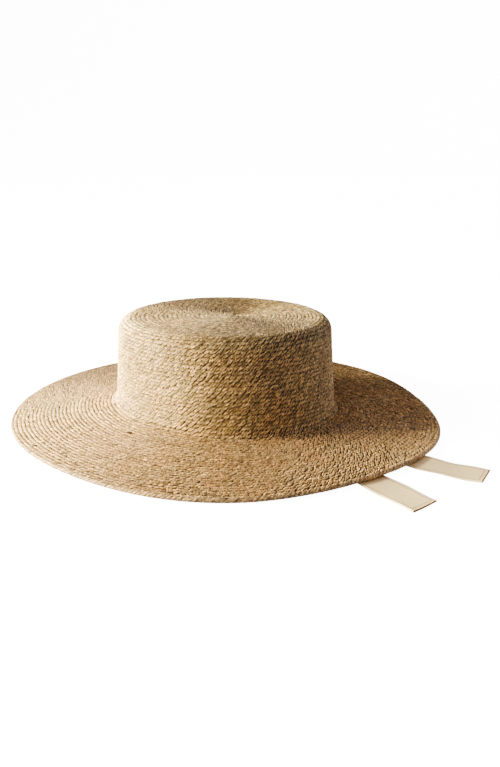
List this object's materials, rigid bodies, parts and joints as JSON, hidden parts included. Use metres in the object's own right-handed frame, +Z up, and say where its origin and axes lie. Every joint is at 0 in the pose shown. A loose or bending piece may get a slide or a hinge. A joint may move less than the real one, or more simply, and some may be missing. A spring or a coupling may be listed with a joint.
{
  "type": "wide-brimmed sewn jute braid hat with two cotton ties",
  "caption": "Flat-crowned hat of sewn jute braid with a wide, nearly flat brim and two loose cotton tape ties, lying on its brim.",
  "frame": {"origin": "middle of the brim's outline, on the surface that the hat lies on", "axes": "+Z up through the crown, -Y the front of the hat where the ties come out, +X the wearer's left"},
  "size_m": [0.3623, 0.429, 0.085],
  "materials": {
    "jute_braid": "coarse matt plaited bast fibre, tan with darker gaps",
    "cotton_tape": "matt plain-woven cotton, cream"
  },
  "bodies": {
    "root": {"crown": "jute_braid", "brim": "jute_braid", "brim_edge": "jute_braid", "tie_left": "cotton_tape", "tie_right": "cotton_tape"}
  },
  "joints": []
}
